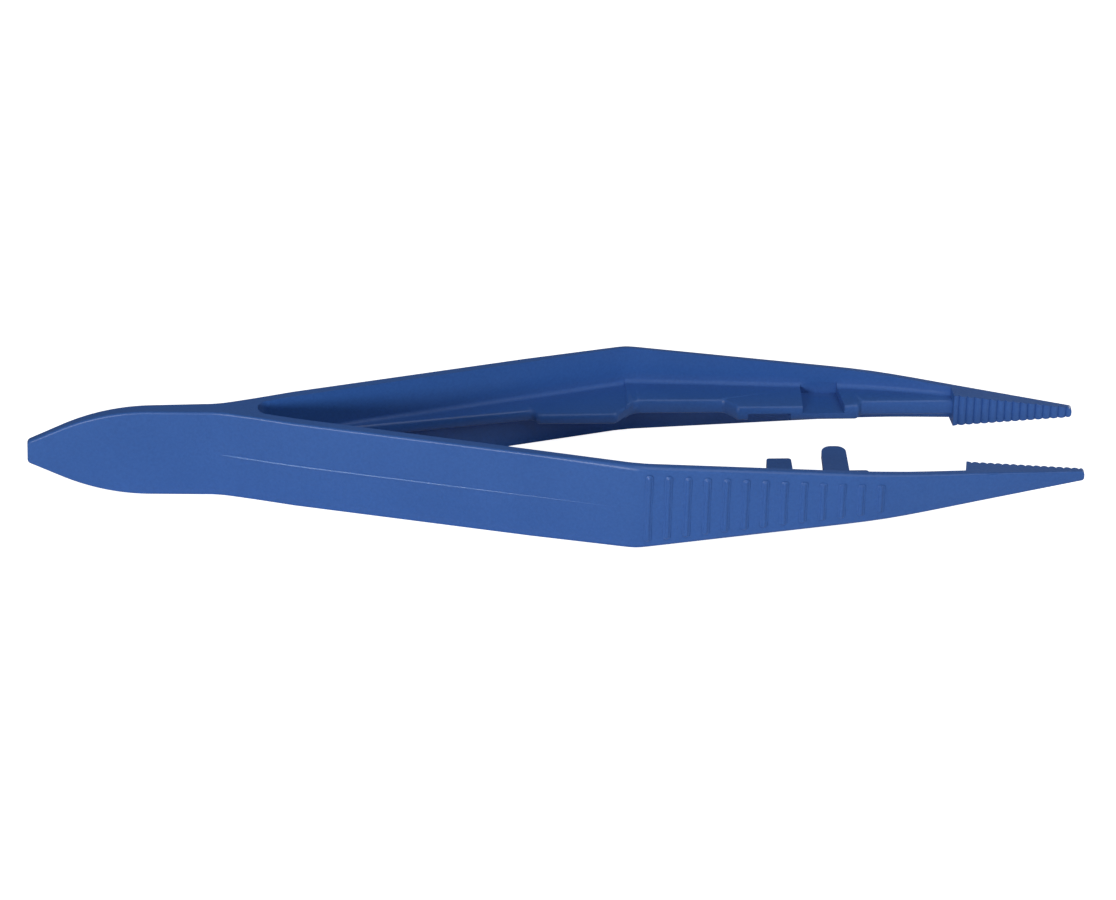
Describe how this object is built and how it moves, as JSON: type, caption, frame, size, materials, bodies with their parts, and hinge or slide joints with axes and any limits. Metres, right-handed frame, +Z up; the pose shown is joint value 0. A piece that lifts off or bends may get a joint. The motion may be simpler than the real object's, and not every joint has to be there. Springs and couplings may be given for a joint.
{
  "type": "thumb forceps",
  "caption": "Disposable plastic thumb forceps with a spade handle, sprung T-section arms, ribbed finger grips, interlocking guide tongues and serrated jaws.",
  "frame": {"origin": "on the surface that the forceps lie on, at the middle of their length, in the plane between the arms", "axes": "+X from the handle towards the tips, +Y towards the arm with the slots, +Z up from the surface, across the width of the arms"},
  "size_m": [0.127, 0.0276, 0.0119],
  "materials": {
    "blue_plastic": "satin with a fine grain"
  },
  "bodies": {
    "root": {"forceps": "blue_plastic"}
  },
  "joints": []
}
